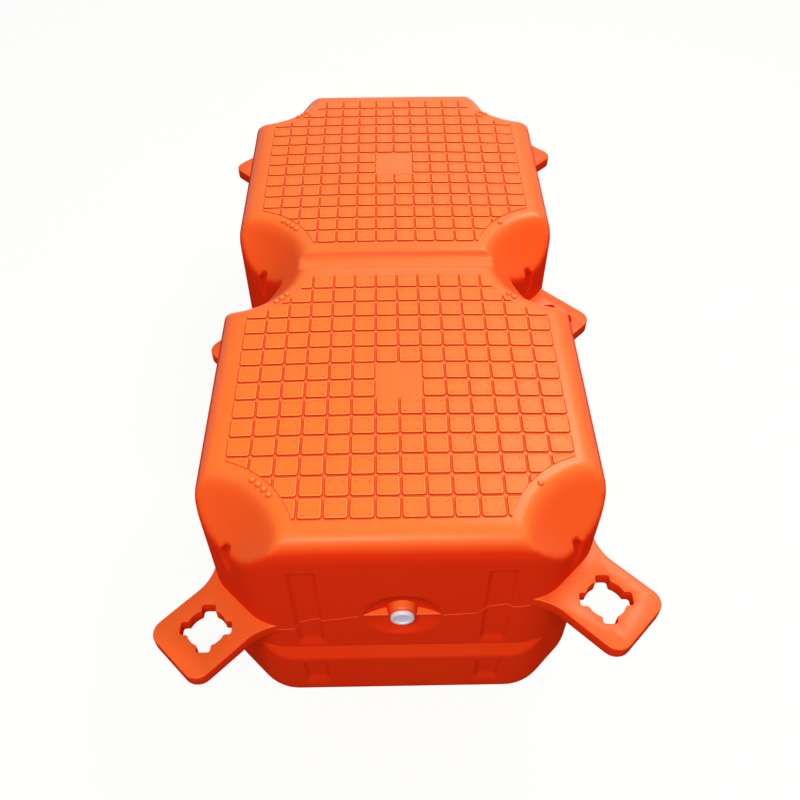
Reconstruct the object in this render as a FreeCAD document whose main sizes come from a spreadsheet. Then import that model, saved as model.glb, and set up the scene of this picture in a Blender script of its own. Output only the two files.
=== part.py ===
import FreeCAD, Part
import math
import os
import Sketcher

# Double floating dock cube, blow moulded in one piece, with six pin lugs and a vent plug.
# Millimetres. X runs across the dock, Y along it away from the vented end, Z up.
# The origin is the centre of the underside. The pin axes stand at X = +-half a cube and at
# Y = -one cube, 0 and +one cube.

SIZES = {
    # One cube of the pair
    "cube_width": 500.0, "deck_height": 400.0, "wall": 5.5,
    "crown_rise": 7.0, "crown_margin": 24.0,
    "crown_flat_pads": 6,
    "pin_flat": 52.0, "corner_round": 60.0, "deck_round": 22.0, "foot_round": 30.0,
    # Round hollow in the deck over each pin
    "scoop_reach": 112.0, "scoop_drop": 65.0, "scoop_ease": 9.0, "scoop_rim": 128.0,
    "scoop_rim_rise": 4.0,
    # Small notch below each hollow
    "notch_width": 22.0, "notch_depth": 7.0, "notch_top": 352.0, "notch_shoulder": 336.0,
    "notch_sill": 318.0, "notch_foot": 290.0, "notch_foot_width": 12.0,
    # Cross channel in the deck between the two cubes
    "channel_floor": 20.0, "channel_width": 50.0, "channel_depth": 8.0, "channel_crest": 1.5,
    "channel_round": 22.0, "channel_lip": 60.0, "channel_lip_rise": 6.0,
    "channel_length": 340.0,
    # Tread of raised pads
    "tread_count": 14, "tread_pitch": 30.3, "tread_gap": 3.4, "tread_height": 1.8,
    "tread_clear": 130.0, "tread_blank": 2, "tread_root": 3.0,
    # Raised level marks, one to four dots beside each pin
    "dot_width": 6.5, "dot_rise": 2.2, "dot_circle": 121.0, "dot_pitch": 10.0,
    "dot_root": 4.0,
    # Lugs
    "lug_low": 196.0, "lug_step": 20.0, "lug_thick": 20.0, "lug_half": 50.0,
    "lug_end": 56.0, "lug_corner": 20.0, "lug_flare": 60.0, "lug_edge": 2.0,
    "lug_sink": 1.0, "lug_root": 30.0, "mid_lug_half": 48.0, "mid_lug_corner": 22.0,
    "mid_lug_root": 12.0,
    # Lobed pin eye
    "eye_width": 50.0, "eye_lobe_width": 17.5, "eye_lobe_reach": 32.5,
    # Recessed panels and groove on each outer face
    "panel_offset": 119.0, "panel_width": 33.0, "panel_depth": 4.5,
    "panel_top": 345.0, "panel_sill": 178.0, "panel_foot": 162.0,
    "low_panel_top": 103.0, "low_panel_sill": 58.0, "low_panel_foot": 40.0,
    "groove_length": 420.0, "groove_depth": 14.0, "groove_top": 157.0,
    "groove_root": 147.0, "groove_foot": 116.0, "groove_round": 14.0,
    # Vent in a round dish on the front face
    "vent_height": 240.0, "dish_width": 100.0, "dish_depth": 13.0,
    "collar_width": 37.0, "collar_proud": 0.5, "fin_thick": 4.0, "fin_inset": 0.4,
    "fin_root": 3.0, "collar_root": 3.0,
    "bore_width": 20.0, "seal_seat_width": 26.0, "seal_thick": 2.4,
    # Vent plug
    "plug_width": 30.0, "plug_head": 5.0, "plug_dish_width": 22.0, "plug_dish_depth": 1.4,
    "plug_rim": 1.0, "plug_shank": 16.0, "plug_clearance": 0.2,
}

# How far the cutting tools reach past the surfaces they cut
OUTSIDE = 12.0
ACROSS = FreeCAD.Vector(1, 0, 0)
ALONG = FreeCAD.Vector(0, 1, 0)

# Each lug: name, side of the dock, pin row and level above the lowest
LUGS = [
    ("front_left", -1, -1, 0), ("front_right", 1, -1, 3),
    ("middle_left", -1, 0, 0), ("middle_right", 1, 0, 3),
    ("rear_left", -1, 1, 1), ("rear_right", 1, 1, 2),
]
# How many level dots stand beside each pin of a cube, by side and end, and their sides
DOTS = {(-1, -1): 4, (1, -1): 1, (-1, 1): 3, (1, 1): 2}
DOT_SIDES = 8
# The pin corners of the front cube: side, row and the way from the pin into the cube
CORNERS = [(-1, -1, 45), (1, -1, 135), (-1, 0, -45), (1, 0, -135)]


def make_sheet(doc):
    """Puts every size into a spreadsheet under its own alias."""
    sheet = doc.addObject("Spreadsheet::Sheet", "Sizes")
    for row, (name, value) in enumerate(SIZES.items(), start=1):
        sheet.set(f"A{row}", name)
        sheet.set(f"B{row}", str(value))
        sheet.setAlias(f"B{row}", name)
    doc.recompute()
    return sheet


def worked_out(thing, text):
    """The present value of an expression, as a plain number."""
    value = thing.evalExpression(text)
    return float(getattr(value, "Value", value))


def place(thing, across="0", along="0", up="0", turn=0, about=FreeCAD.Vector(0, 0, 1)):
    """Stands a sub-part at a place worked out from the sheet, turned about an axis."""
    thing.Placement.Rotation = FreeCAD.Rotation(about, turn)
    thing.setExpression("Placement.Base.x", across)
    thing.setExpression("Placement.Base.y", along)
    thing.setExpression("Placement.Base.z", up)


def new_body(doc, name):
    return doc.addObject("PartDesign::Body", name)


def outline(body, name, role, corners):
    """A closed outline of straight edges; each corner is a pair of expressions."""
    sketch = body.newObject("Sketcher::SketchObject", name)
    plane = next(f for f in body.Origin.OriginFeatures if f.Role == role)
    sketch.AttachmentSupport = [(plane, "")]
    sketch.MapMode = "FlatFace"
    points = [[worked_out(sketch, text) for text in corner] for corner in corners]
    last = len(points) - 1
    for i, start in enumerate(points):
        end = points[0] if i == last else points[i + 1]
        sketch.addGeometry(Part.LineSegment(FreeCAD.Vector(*start), FreeCAD.Vector(*end)))
    for i in range(len(points)):
        following = 0 if i == last else i + 1
        sketch.addConstraint(Sketcher.Constraint("Coincident", i, 2, following, 1))
    for i, corner in enumerate(corners):
        for kind, text, value in zip(("DistanceX", "DistanceY"), corner, points[i]):
            rule = Sketcher.Constraint(kind, -1, 1, i, 1, value)
            index = sketch.addConstraint(rule)
            sketch.setExpression(f"Constraints[{index}]", text)
    return sketch


def pad(body, name, sketch, length, symmetric=False):
    """The sketch raised by a length, to one side of its plane or to both."""
    feature = body.newObject("PartDesign::Pad", name)
    feature.Profile = sketch
    feature.SideType = "Symmetric" if symmetric else "One side"
    feature.setExpression("Length", length)
    return feature


def spun(body, name, sketch):
    """The sketch turned once round its upright axis."""
    feature = body.newObject("PartDesign::Revolution", name)
    feature.Profile = sketch
    feature.ReferenceAxis = (sketch, ["V_Axis"])
    feature.Angle = 360
    return feature


def edge_names(shape, wanted):
    return [f"Edge{i}" for i, edge in enumerate(shape.Edges, start=1) if wanted(edge)]


def dressed(body, kind, name, feature, wanted):
    """A fillet or chamfer on the edges of the body's last feature that the test picks."""
    body.Document.recompute()
    dressing = body.newObject(kind, name)
    dressing.Base = (feature, edge_names(feature.Shape, wanted))
    return dressing


def rounded(body, name, feature, radius, wanted):
    fillet = dressed(body, "PartDesign::Fillet", name, feature, wanted)
    fillet.setExpression("Radius", radius)
    return fillet


def bevelled(body, name, feature, size, wanted):
    chamfer = dressed(body, "PartDesign::Chamfer", name, feature, wanted)
    chamfer.setExpression("Size", size)
    return chamfer


def upright(edge):
    """Whether an edge runs straight up, so that its ends share one place in plan."""
    start, end = edge.Vertexes[0].Point, edge.Vertexes[-1].Point
    return math.hypot(start.x - end.x, start.y - end.y) < 1e-6


def near(edge, across, along, tolerance=0.01):
    """Whether an edge stands over a spot of the plan."""
    middle = edge.BoundBox.Center
    return math.hypot(middle.x - across, middle.y - along) < tolerance


def combine(doc, kind, name, base, tools):
    """A boolean of one base shape with one tool or several."""
    if kind == "Part::MultiFuse":
        result = doc.addObject(kind, name)
        result.Shapes = [base, *tools]
        return result
    tool = tools[0]
    if len(tools) > 1:
        tool = doc.addObject("Part::Compound", name + "_tools")
        tool.Links = list(tools)
    result = doc.addObject(kind, name)
    result.Base = base
    result.Tool = tool
    return result


def cube_block(doc, prefix, skin):
    """One cube before anything is cut from it: a box with its corners cut off in plan.

    skin is how far inside the outer surface it lies, so that the same steps shape the
    outside of the moulding and its cavity. The far face is left square for the joint.
    """
    half = f"(Sizes.cube_width / 2 - {skin})"
    reach = f"((Sizes.pin_flat + {skin}) * sqrt(2))"
    front = f"({skin} - Sizes.cube_width)"
    body = new_body(doc, prefix + "_block")
    corners = [
        (f"Sizes.cube_width / 2 - {reach}", "0"),
        (f"-(Sizes.cube_width / 2 - {reach})", "0"),
        (f"-{half}", f"{skin} - {reach}"),
        (f"-{half}", f"{front} + {reach} - 2 * {skin}"),
        (f"-({half} + 2 * {skin} - {reach})", front),
        (f"{half} + 2 * {skin} - {reach}", front),
        (half, f"{front} + {reach} - 2 * {skin}"),
        (half, f"{skin} - {reach}"),
    ]
    plan = outline(body, prefix + "_plan", "XY_Plane", corners)
    height = f"Sizes.deck_height - 2 * {skin}"
    block = pad(body, prefix + "_pad", plan, height)
    if skin == "0":
        rounded(body, prefix + "_corners", block, "Sizes.corner_round",
                lambda edge: upright(edge) and edge.Vertexes[0].Y < -1.0)
    else:
        bevel_block(body, prefix, block)
    place(body, up=skin)
    return body


def bevel_block(body, prefix, block):
    """Takes the deck and foot edges off the cavity, so that the wall stays full there."""
    middle = worked_out(body, "Sizes.deck_height / 2")
    feature = block
    for end, round_name, above in (("deck", "deck_round", True), ("foot", "foot_round", False)):
        size = f"(2 - sqrt(2)) * (Sizes.{round_name} - Sizes.wall)"
        feature = bevelled(body, f"{prefix}_{end}_bevel", feature, size,
                           lambda edge: edge.BoundBox.YMin < -1e-3 and not upright(edge)
                           and (edge.BoundBox.ZMin > middle) == above
                           and (edge.BoundBox.ZMax > middle) == above)


def crown(doc, name, lift, drop="0"):
    """The low bulge of one deck: a flat middle with a slope on each side of it."""
    bulge = doc.addObject("Part::Wedge", name)
    half = "(Sizes.cube_width / 2 - Sizes.crown_margin)"
    flat = "(Sizes.crown_flat_pads * Sizes.tread_pitch / 2)"
    low = f"({half} + {drop} * ({half} - {flat}) / Sizes.crown_rise)"
    for axis in "XZ":
        bulge.setExpression(f"{axis}min", f"-{low}")
        bulge.setExpression(f"{axis}max", low)
        bulge.setExpression(f"{axis}2min", f"-{flat}")
        bulge.setExpression(f"{axis}2max", flat)
    bulge.Ymin = 0
    bulge.setExpression("Ymax", f"Sizes.crown_rise + {drop}")
    place(bulge, "0", "-Sizes.cube_width / 2", f"Sizes.deck_height + {lift} - {drop}", 90, ACROSS)
    return bulge


def soften_block(doc, sheet, block):
    """Rounds the deck edge and the foot edge, but not where the cubes join."""
    doc.recompute()
    joint = -1e-3
    edges = []
    for i, edge in enumerate(block.Shape.Edges, start=1):
        box = edge.BoundBox
        if box.YMin > joint or box.ZMax - box.ZMin > sheet.deck_height / 2:
            continue
        at_deck = box.ZMin > sheet.deck_height / 2
        radius = sheet.deck_round if at_deck else sheet.foot_round
        edges.append((i, radius, radius))
    soft = doc.addObject("Part::Fillet", "cube_soft")
    soft.Base = block
    soft.Edges = edges
    return soft


def scoop_tool(doc, name, side, row):
    """A cone about a pin axis that hollows the corners round it, eased off at the deck."""
    body = new_body(doc, name)
    slope = "Sizes.scoop_drop / (Sizes.scoop_reach - Sizes.pin_flat)"
    core = "Sizes.pin_flat / 2"
    top = f"Sizes.deck_height + {OUTSIDE}"
    profile = outline(body, name + "_profile", "XZ_Plane", [
        (core, f"Sizes.deck_height - (Sizes.scoop_reach - {core}) * {slope}"),
        ("Sizes.scoop_reach - Sizes.scoop_ease",
         f"Sizes.deck_height - Sizes.scoop_ease * {slope}"),
        ("Sizes.scoop_rim", "Sizes.deck_height + Sizes.scoop_rim_rise"),
        ("Sizes.scoop_rim", top),
        (core, top),
    ])
    spun(body, name + "_cone", profile)
    place(body, f"{side} * Sizes.cube_width / 2", f"{row} * Sizes.cube_width")
    return body


def scoop_backing(doc, name, side, row, turn):
    """A flat slope that keeps the cavity a wall clear of the hollow over a pin."""
    body = new_body(doc, name)
    low = "Sizes.deck_height - Sizes.scoop_drop - 2 * Sizes.wall"
    profile = outline(body, name + "_profile", "XZ_Plane", [
        ("0", low), ("Sizes.pin_flat", low),
        ("Sizes.scoop_rim", "Sizes.deck_height - Sizes.wall"),
        ("Sizes.scoop_rim", f"Sizes.deck_height + {OUTSIDE}"),
        ("0", f"Sizes.deck_height + {OUTSIDE}"),
    ])
    pad(body, name + "_pad", profile, "2 * Sizes.cube_width", True)
    place(body, f"{side} * Sizes.cube_width / 2", f"{row} * Sizes.cube_width", "0", turn)
    return body


def notch_tool(doc, name, side, row, turn):
    """A notch on a corner's diagonal: a sloped sill below and a peaked top."""
    wedge = new_body(doc, name + "_wedge")
    section = outline(wedge, name + "_section", "XZ_Plane", [
        ("Sizes.pin_flat / 2", "Sizes.notch_foot"),
        ("Sizes.pin_flat", "Sizes.notch_foot"),
        ("Sizes.pin_flat + Sizes.notch_depth", "Sizes.notch_sill"),
        ("Sizes.pin_flat + 2 * Sizes.notch_depth", "Sizes.notch_top"),
        ("Sizes.pin_flat / 2", "Sizes.notch_top"),
    ])
    pad(wedge, name + "_wedge_pad", section, "Sizes.notch_width", True)
    front = new_body(doc, name + "_front")
    face = outline(front, name + "_face", "YZ_Plane", [
        ("-Sizes.notch_foot_width / 2", "Sizes.notch_foot"),
        ("Sizes.notch_foot_width / 2", "Sizes.notch_foot"),
        ("Sizes.notch_width / 2", "Sizes.notch_sill"),
        ("Sizes.notch_width / 2", "Sizes.notch_shoulder"),
        ("0", "Sizes.notch_top"),
        ("-Sizes.notch_width / 2", "Sizes.notch_shoulder"),
        ("-Sizes.notch_width / 2", "Sizes.notch_sill"),
    ])
    pad(front, name + "_front_pad", face, "4 * Sizes.pin_flat", True)
    for body in (wedge, front):
        place(body, f"{side} * Sizes.cube_width / 2", f"{row} * Sizes.cube_width", "0",
              turn)
    return combine(doc, "Part::Common", name, wedge, [front])


def backing(doc, name, spot, turn, width, depth, low, high):
    """A plain block that keeps the cavity a wall clear of a recess in an outer face."""
    block = doc.addObject("Part::Box", name)
    wide, deep = f"({width} + 2 * Sizes.wall)", f"({depth} + Sizes.wall)"
    block.setExpression("Length", wide)
    block.setExpression("Width", f"{deep} + {OUTSIDE}")
    block.setExpression("Height", f"{high} - ({low}) + 2 * Sizes.wall")
    facing = math.radians(turn)
    shift_x = f"{wide} / 2 * {math.cos(facing):.6f} - {OUTSIDE} * {math.sin(facing):.6f}"
    shift_y = f"{wide} / 2 * {math.sin(facing):.6f} + {OUTSIDE} * {math.cos(facing):.6f}"
    place(block, f"{spot[0]} - ({shift_x})", f"{spot[1]} - ({shift_y})",
          f"{low} - Sizes.wall", turn)
    return block


def panel_tool(doc, name, spot, turn, top, sill, foot):
    """A tall recess in an outer face with a sloped ledge at its foot."""
    body = new_body(doc, name)
    section = outline(body, name + "_section", "YZ_Plane", [
        (f"-{OUTSIDE}", f"Sizes.{foot}"),
        ("0", f"Sizes.{foot}"),
        ("Sizes.panel_depth", f"Sizes.{sill}"),
        ("Sizes.panel_depth", f"Sizes.{top}"),
        (f"-{OUTSIDE}", f"Sizes.{top}"),
    ])
    pad(body, name + "_pad", section, "Sizes.panel_width", True)
    place(body, spot[0], spot[1], "0", turn)
    return body


def groove_tool(doc, name, skin, spot, turn):
    """The stiffening groove across an outer face, with a rounded root."""
    body = new_body(doc, name)
    section = outline(body, name + "_section", "YZ_Plane", [
        (f"-{OUTSIDE}", f"Sizes.groove_foot - {skin}"),
        (skin, f"Sizes.groove_foot - {skin}"),
        (f"Sizes.groove_depth + {skin}", "Sizes.groove_root"),
        (skin, f"Sizes.groove_top + {skin}"),
        (f"-{OUTSIDE}", f"Sizes.groove_top + {skin}"),
    ])
    bar = pad(body, name + "_pad", section, "Sizes.groove_length", True)
    if skin == "0":
        root = worked_out(body, "Sizes.groove_depth")
        rounded(body, name + "_root", bar, "Sizes.groove_round",
                lambda edge: abs(edge.BoundBox.YMin - root) < 1e-6
                and abs(edge.BoundBox.YMax - root) < 1e-6)
    place(body, spot[0], spot[1], "0", turn)
    return body


def face_tools(doc, prefix, skin):
    """The groove and the panels of each of the cube's three outer faces.

    The cavity gets one plain backing for the panels that stand one above the other.
    """
    half, centre = "Sizes.cube_width / 2", "-Sizes.cube_width / 2"
    faces = [
        ("front", "{0} * Sizes.panel_offset", "-Sizes.cube_width", 0),
        ("right", half, centre + " + {0} * Sizes.panel_offset", 90),
        ("left", f"-{half}", centre + " + {0} * Sizes.panel_offset", -90),
    ]
    panels = [("high", "panel_top", "panel_sill", "panel_foot"),
              ("low", "low_panel_top", "low_panel_sill", "low_panel_foot")]
    tools = []
    for face, across, along, turn in faces:
        label = f"{prefix}_{face}"
        middle = (across.format(0), along.format(0))
        tools.append(groove_tool(doc, label + "_groove", skin, middle, turn))
        for side in (-1, 1):
            spot = (across.format(side), along.format(side))
            end = "a" if side < 0 else "b"
            if skin != "0":
                tools.append(backing(doc, f"{label}_backing_{end}", spot, turn,
                                     "Sizes.panel_width", "Sizes.panel_depth",
                                     "Sizes.low_panel_foot", "Sizes.panel_top"))
                continue
            for panel, top, sill, foot in panels:
                name = f"{label}_{panel}_panel_{end}"
                tools.append(panel_tool(doc, name, spot, turn, top, sill, foot))
    return tools


def outer_cube(doc, sheet):
    """The front cube with its hollows, notches and face recesses."""
    soft = soften_block(doc, sheet, cube_block(doc, "outer", "0"))
    crowned = combine(doc, "Part::MultiFuse", "crowned_cube", soft, [crown(doc, "crown", "0")])
    scoops = [scoop_tool(doc, f"scoop_{i}", side, row)
              for i, (side, row, turn) in enumerate(CORNERS)]
    hollowed = combine(doc, "Part::Cut", "hollowed_cube", crowned, scoops)
    notches = [notch_tool(doc, f"notch_{i}", side, row, turn)
               for i, (side, row, turn) in enumerate(CORNERS)]
    return combine(doc, "Part::Cut", "outer_cube", hollowed,
                   notches + face_tools(doc, "outer", "0"))


def inner_cube(doc):
    """The cavity of the front cube, a wall inside the outer form."""
    wall = "Sizes.wall"
    block = cube_block(doc, "inner", wall)
    crowned = combine(doc, "Part::MultiFuse", "inner_crowned", block,
                      [crown(doc, "inner_crown", f"-{wall}")])
    clear = face_tools(doc, "inner", wall)
    for i, (side, row, turn) in enumerate(CORNERS):
        way = math.radians(turn)
        spot = (f"{side} * Sizes.cube_width / 2 + Sizes.pin_flat * {math.cos(way):.6f}",
                f"{row} * Sizes.cube_width + Sizes.pin_flat * {math.sin(way):.6f}")
        clear.append(backing(doc, f"notch_backing_{i}", spot, turn - 90,
                             "Sizes.notch_width", "Sizes.notch_depth",
                             "Sizes.notch_foot", "Sizes.notch_top"))
        clear.append(scoop_backing(doc, f"scoop_backing_{i}", side, row, turn))
    return combine(doc, "Part::Cut", "inner_cube", crowned, clear)


def channel_tool(doc, name, skin):
    """The shallow cross channel with soft crests where the two cubes meet."""
    body = new_body(doc, name)
    crest = f"Sizes.deck_height + Sizes.channel_crest - {skin}"
    floor = f"{crest} - Sizes.channel_depth"
    far = f"Sizes.channel_width / 2 + Sizes.channel_lip + {skin}"
    top = f"Sizes.deck_height + Sizes.channel_lip_rise + {OUTSIDE}"
    right = [
        (f"Sizes.channel_floor / 2 + {skin}", floor),
        (f"Sizes.channel_width / 2 + {skin}", crest),
        (far, f"{crest} + Sizes.channel_lip_rise"),
        (far, top),
    ]
    left = [(f"-({along})", up) for along, up in reversed(right)]
    bar = pad(body, name + "_pad", outline(body, name + "_section", "YZ_Plane", right + left),
              "Sizes.channel_length", True)
    if skin == "0":
        bends = [worked_out(body, right[0][0]), worked_out(body, right[1][0])]
        rounded(body, name + "_bends", bar, "Sizes.channel_round",
                lambda edge: edge.BoundBox.XLength > 1.0
                and any(abs(abs(edge.BoundBox.Center.y) - bend) < 1e-6 for bend in bends))
    return body


def dish_tool(doc):
    """A ball that sinks a round dish into the front face about the vent."""
    ball = doc.addObject("Part::Sphere", "dish")
    radius = "((Sizes.dish_width ^ 2 / 4 + Sizes.dish_depth ^ 2) / (2 * Sizes.dish_depth))"
    ball.setExpression("Radius", radius)
    place(ball, "0", f"Sizes.dish_depth - Sizes.cube_width - {radius}", "Sizes.vent_height")
    return ball


def hull(doc, prefix, front, dish, skin):
    """Both cubes as one form, mirrored about the joint, with the channel and the dish."""
    rear = mirrored(doc, prefix + "_rear_cube", front)
    pair = combine(doc, "Part::MultiFuse", prefix + "_pair", front, [rear])
    tools = [channel_tool(doc, prefix + "_channel", skin), dish]
    return combine(doc, "Part::Cut", prefix + "_hull", pair, tools)


def lug_height(level):
    """The underside of a lug that many steps above the lowest."""
    return f"Sizes.lug_low + {level} * Sizes.lug_step"


def corner_lug(doc, name, side, row, level):
    """A plate on a corner's diagonal whose roots flare into the faces beside it."""
    body = new_body(doc, name + "_lug")
    half, end = "Sizes.lug_half * sqrt(2)", "Sizes.lug_end * sqrt(2)"
    root = f"{half} + Sizes.lug_root"
    near_side, far_side = f"-({half} + {end}) / 2", f"({half} - {end}) / 2"
    corners = [
        ("Sizes.lug_root", root), ("Sizes.lug_sink", root),
        ("Sizes.lug_sink", f"{half} + Sizes.lug_sink"),
        (near_side, far_side), (far_side, near_side),
        (f"{half} + Sizes.lug_sink", "Sizes.lug_sink"),
        (root, "Sizes.lug_sink"), (root, "Sizes.lug_root"),
    ]
    plate = pad(body, name + "_plate", outline(body, name + "_plan", "XY_Plane", corners),
                "Sizes.lug_thick")
    spots = [[worked_out(body, text) for text in corner] for corner in corners]
    flared = rounded(body, name + "_flares", plate, "Sizes.lug_flare",
                     lambda edge: upright(edge) and (near(edge, *spots[2]) or near(edge, *spots[5])))
    nosed = rounded(body, name + "_nose", flared, "Sizes.lug_corner",
                    lambda edge: upright(edge) and (near(edge, *spots[3]) or near(edge, *spots[4])))
    bevelled(body, name + "_edges", nosed, "Sizes.lug_edge",
             lambda edge: edge.BoundBox.ZMin > 0.001 and not upright(edge))
    turn = {(-1, -1): 0, (1, -1): 90, (1, 1): 180, (-1, 1): 270}[side, row]
    place(body, f"{side} * Sizes.cube_width / 2", f"{row} * Sizes.cube_width",
          lug_height(level), turn)
    return body


def middle_lug(doc, name, side, level):
    """A square plate that fills the notch between the cubes, one corner outwards."""
    body = new_body(doc, name + "_lug")
    tip = "Sizes.mid_lug_half * sqrt(2)"
    corners = [
        (f"-{tip}", "0"),
        ("Sizes.mid_lug_root", f"-({tip} + Sizes.mid_lug_root)"),
        ("Sizes.pin_flat * sqrt(2) + Sizes.lug_root", "0"),
        ("Sizes.mid_lug_root", f"{tip} + Sizes.mid_lug_root"),
    ]
    plate = pad(body, name + "_plate", outline(body, name + "_plan", "XY_Plane", corners),
                "Sizes.lug_thick")
    spot = [worked_out(body, text) for text in corners[0]]
    nosed = rounded(body, name + "_nose", plate, "Sizes.mid_lug_corner",
                    lambda edge: upright(edge) and near(edge, *spot))
    bevelled(body, name + "_edges", nosed, "Sizes.lug_edge",
             lambda edge: edge.BoundBox.ZMin > 0.001 and not upright(edge))
    place(body, f"{side} * Sizes.cube_width / 2", "0", lug_height(level), 90 * (side + 1))
    return body


def eye_tool(doc, name, side, row, level):
    """The lobed hole for a connecting pin: a round bore with four square lobes."""
    bore = doc.addObject("Part::Cylinder", name + "_bore")
    bore.setExpression("Radius", "Sizes.eye_width / 2")
    low = f"{lug_height(level)} - {OUTSIDE}"
    across, along = f"{side} * Sizes.cube_width / 2", f"{row} * Sizes.cube_width"
    place(bore, across, along, low)
    reach, lobe = "Sizes.eye_lobe_reach", "Sizes.eye_lobe_width / 2"
    bars = []
    for i, (wide, deep) in enumerate([(reach, lobe), (lobe, reach)]):
        bar = doc.addObject("Part::Box", f"{name}_lobes_{i}")
        bar.setExpression("Length", f"2 * {wide}")
        bar.setExpression("Width", f"2 * {deep}")
        place(bar, f"{across} - {wide}", f"{along} - {deep}", low)
        bars.append(bar)
    for piece in (bore, *bars):
        piece.setExpression("Height", f"Sizes.lug_thick + 2 * {OUTSIDE}")
    return combine(doc, "Part::MultiFuse", name + "_eye", bore, bars)


def tread_slots(doc, low, depth):
    """The gaps between the rows of pads, both ways, and the bare square in the middle."""
    edge = "(Sizes.tread_count * Sizes.tread_pitch - Sizes.tread_gap) / 2"
    long, bare = f"2 * ({edge} + {OUTSIDE})", "Sizes.tread_blank * Sizes.tread_pitch"
    count = int(worked_out(doc.getObject("Sizes"), "Sizes.tread_count"))
    tools = []
    for i in range(count - 1):
        gap = f"{i + 1} * Sizes.tread_pitch - Sizes.tread_gap - {edge}"
        tools.append((f"slot_along_{i}", gap, f"-{long} / 2", "Sizes.tread_gap", long))
        tools.append((f"slot_across_{i}", f"-{long} / 2", gap, long, "Sizes.tread_gap"))
    tools.append(("tread_middle", f"-{bare} / 2", f"-{bare} / 2", bare, bare))
    boxes = []
    for name, across, along, wide, deep in tools:
        box = doc.addObject("Part::Box", name)
        box.setExpression("Length", wide)
        box.setExpression("Width", deep)
        box.setExpression("Height", depth)
        place(box, across, f"{along} - Sizes.cube_width / 2", low)
        boxes.append(box)
    return boxes


def tread_field(doc):
    """A thin square sheet that follows the crown, from which the pads are cut."""
    edge = "(Sizes.tread_count * Sizes.tread_pitch - Sizes.tread_gap) / 2"
    cover = crown(doc, "tread_cover", "Sizes.tread_height",
                  "(Sizes.tread_height + Sizes.tread_root)")
    bed = crown(doc, "tread_bed", "-Sizes.tread_root")
    layer = combine(doc, "Part::Cut", "tread_layer", cover, [bed])
    square = doc.addObject("Part::Box", "tread_square")
    square.setExpression("Length", f"2 * {edge}")
    square.setExpression("Width", f"2 * {edge}")
    square.setExpression("Height", "2 * Sizes.crown_rise + Sizes.tread_height")
    place(square, f"-{edge}", f"-{edge} - Sizes.cube_width / 2",
          "Sizes.deck_height - Sizes.crown_rise")
    return combine(doc, "Part::Common", "tread_field", layer, [square])


def tread(doc):
    """The raised square pads of the front cube, clear of the hollows over the pins."""
    low = "Sizes.deck_height - Sizes.crown_rise"
    depth = "(2 * Sizes.crown_rise + Sizes.tread_height)"
    clears = []
    for i, (side, row, turn) in enumerate(CORNERS):
        clear = doc.addObject("Part::Cylinder", f"tread_clear_{i}")
        clear.setExpression("Radius", "Sizes.tread_clear")
        clear.setExpression("Height", depth)
        place(clear, f"{side} * Sizes.cube_width / 2", f"{row} * Sizes.cube_width", low)
        clears.append(clear)
    gaps = tread_slots(doc, low, depth)
    lattice = combine(doc, "Part::MultiFuse", "tread_gaps", gaps[0], gaps[1:] + clears)
    return combine(doc, "Part::Cut", "tread_pads", tread_field(doc), [lattice])


def mirrored(doc, name, source):
    """The same form on the rear cube, mirrored about the joint between the cubes."""
    copy = doc.addObject("Part::Mirroring", name)
    copy.Source = source
    copy.Normal = ALONG
    return copy


def level_dots(doc, cube_side):
    """Small raised discs round each hollow that tell the pin levels apart."""
    dots = []
    for (side, end), count in DOTS.items():
        facing = math.degrees(math.atan2(-end, -side))
        for i in range(count):
            dot = doc.addObject("Part::Prism", f"dot_{cube_side + 1}_{side + 1}_{end + 1}_{i}")
            dot.Polygon = DOT_SIDES
            step = "Sizes.dot_pitch / Sizes.dot_circle * 180 / pi"
            angle = f"({facing} + ({i - (count - 1) / 2}) * {step})"
            place(dot,
                  f"{side} * Sizes.cube_width / 2 + Sizes.dot_circle * cos({angle})",
                  f"({cube_side} + {end}) * Sizes.cube_width / 2 + Sizes.dot_circle * sin({angle})",
                  "Sizes.deck_height - Sizes.dot_root")
            dot.setExpression("Circumradius", "Sizes.dot_width / 2")
            dot.setExpression("Height", "Sizes.dot_root + Sizes.dot_rise")
            dots.append(dot)
    return dots


def vent_boss(doc):
    """The collar that takes the plug and the web on each side of it."""
    collar = doc.addObject("Part::Cylinder", "collar")
    collar.setExpression("Radius", "Sizes.collar_width / 2")
    collar.setExpression("Height", "Sizes.collar_proud + Sizes.dish_depth + Sizes.collar_root")
    place(collar, "0", "Sizes.dish_depth + Sizes.collar_root - Sizes.cube_width",
          "Sizes.vent_height", 90, ACROSS)
    fin = doc.addObject("Part::Box", "fins")
    fin.setExpression("Length", "Sizes.dish_width + 2 * Sizes.fin_root")
    fin.setExpression("Width", "Sizes.dish_depth - Sizes.fin_inset")
    fin.setExpression("Height", "Sizes.fin_thick")
    place(fin, "-(Sizes.dish_width / 2 + Sizes.fin_root)",
          "Sizes.fin_inset - Sizes.cube_width", "Sizes.vent_height - Sizes.fin_thick / 2")
    return [collar, fin]


def vent_bore(doc):
    """The bore through the collar into the float, with a seat for the seal at its mouth."""
    mouth = "-(Sizes.cube_width + Sizes.collar_proud)"
    tools = []
    for name, width, depth in (
            ("bore", "Sizes.bore_width", f"Sizes.dish_depth + Sizes.wall + 2 * {OUTSIDE}"),
            ("seal_seat", "Sizes.seal_seat_width", "Sizes.seal_thick")):
        tool = doc.addObject("Part::Cylinder", name)
        tool.setExpression("Radius", f"{width} / 2")
        tool.setExpression("Height", f"{depth} + {OUTSIDE}")
        place(tool, "0", f"{mouth} + {depth}", "Sizes.vent_height", 90, ACROSS)
        tools.append(tool)
    return tools


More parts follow.
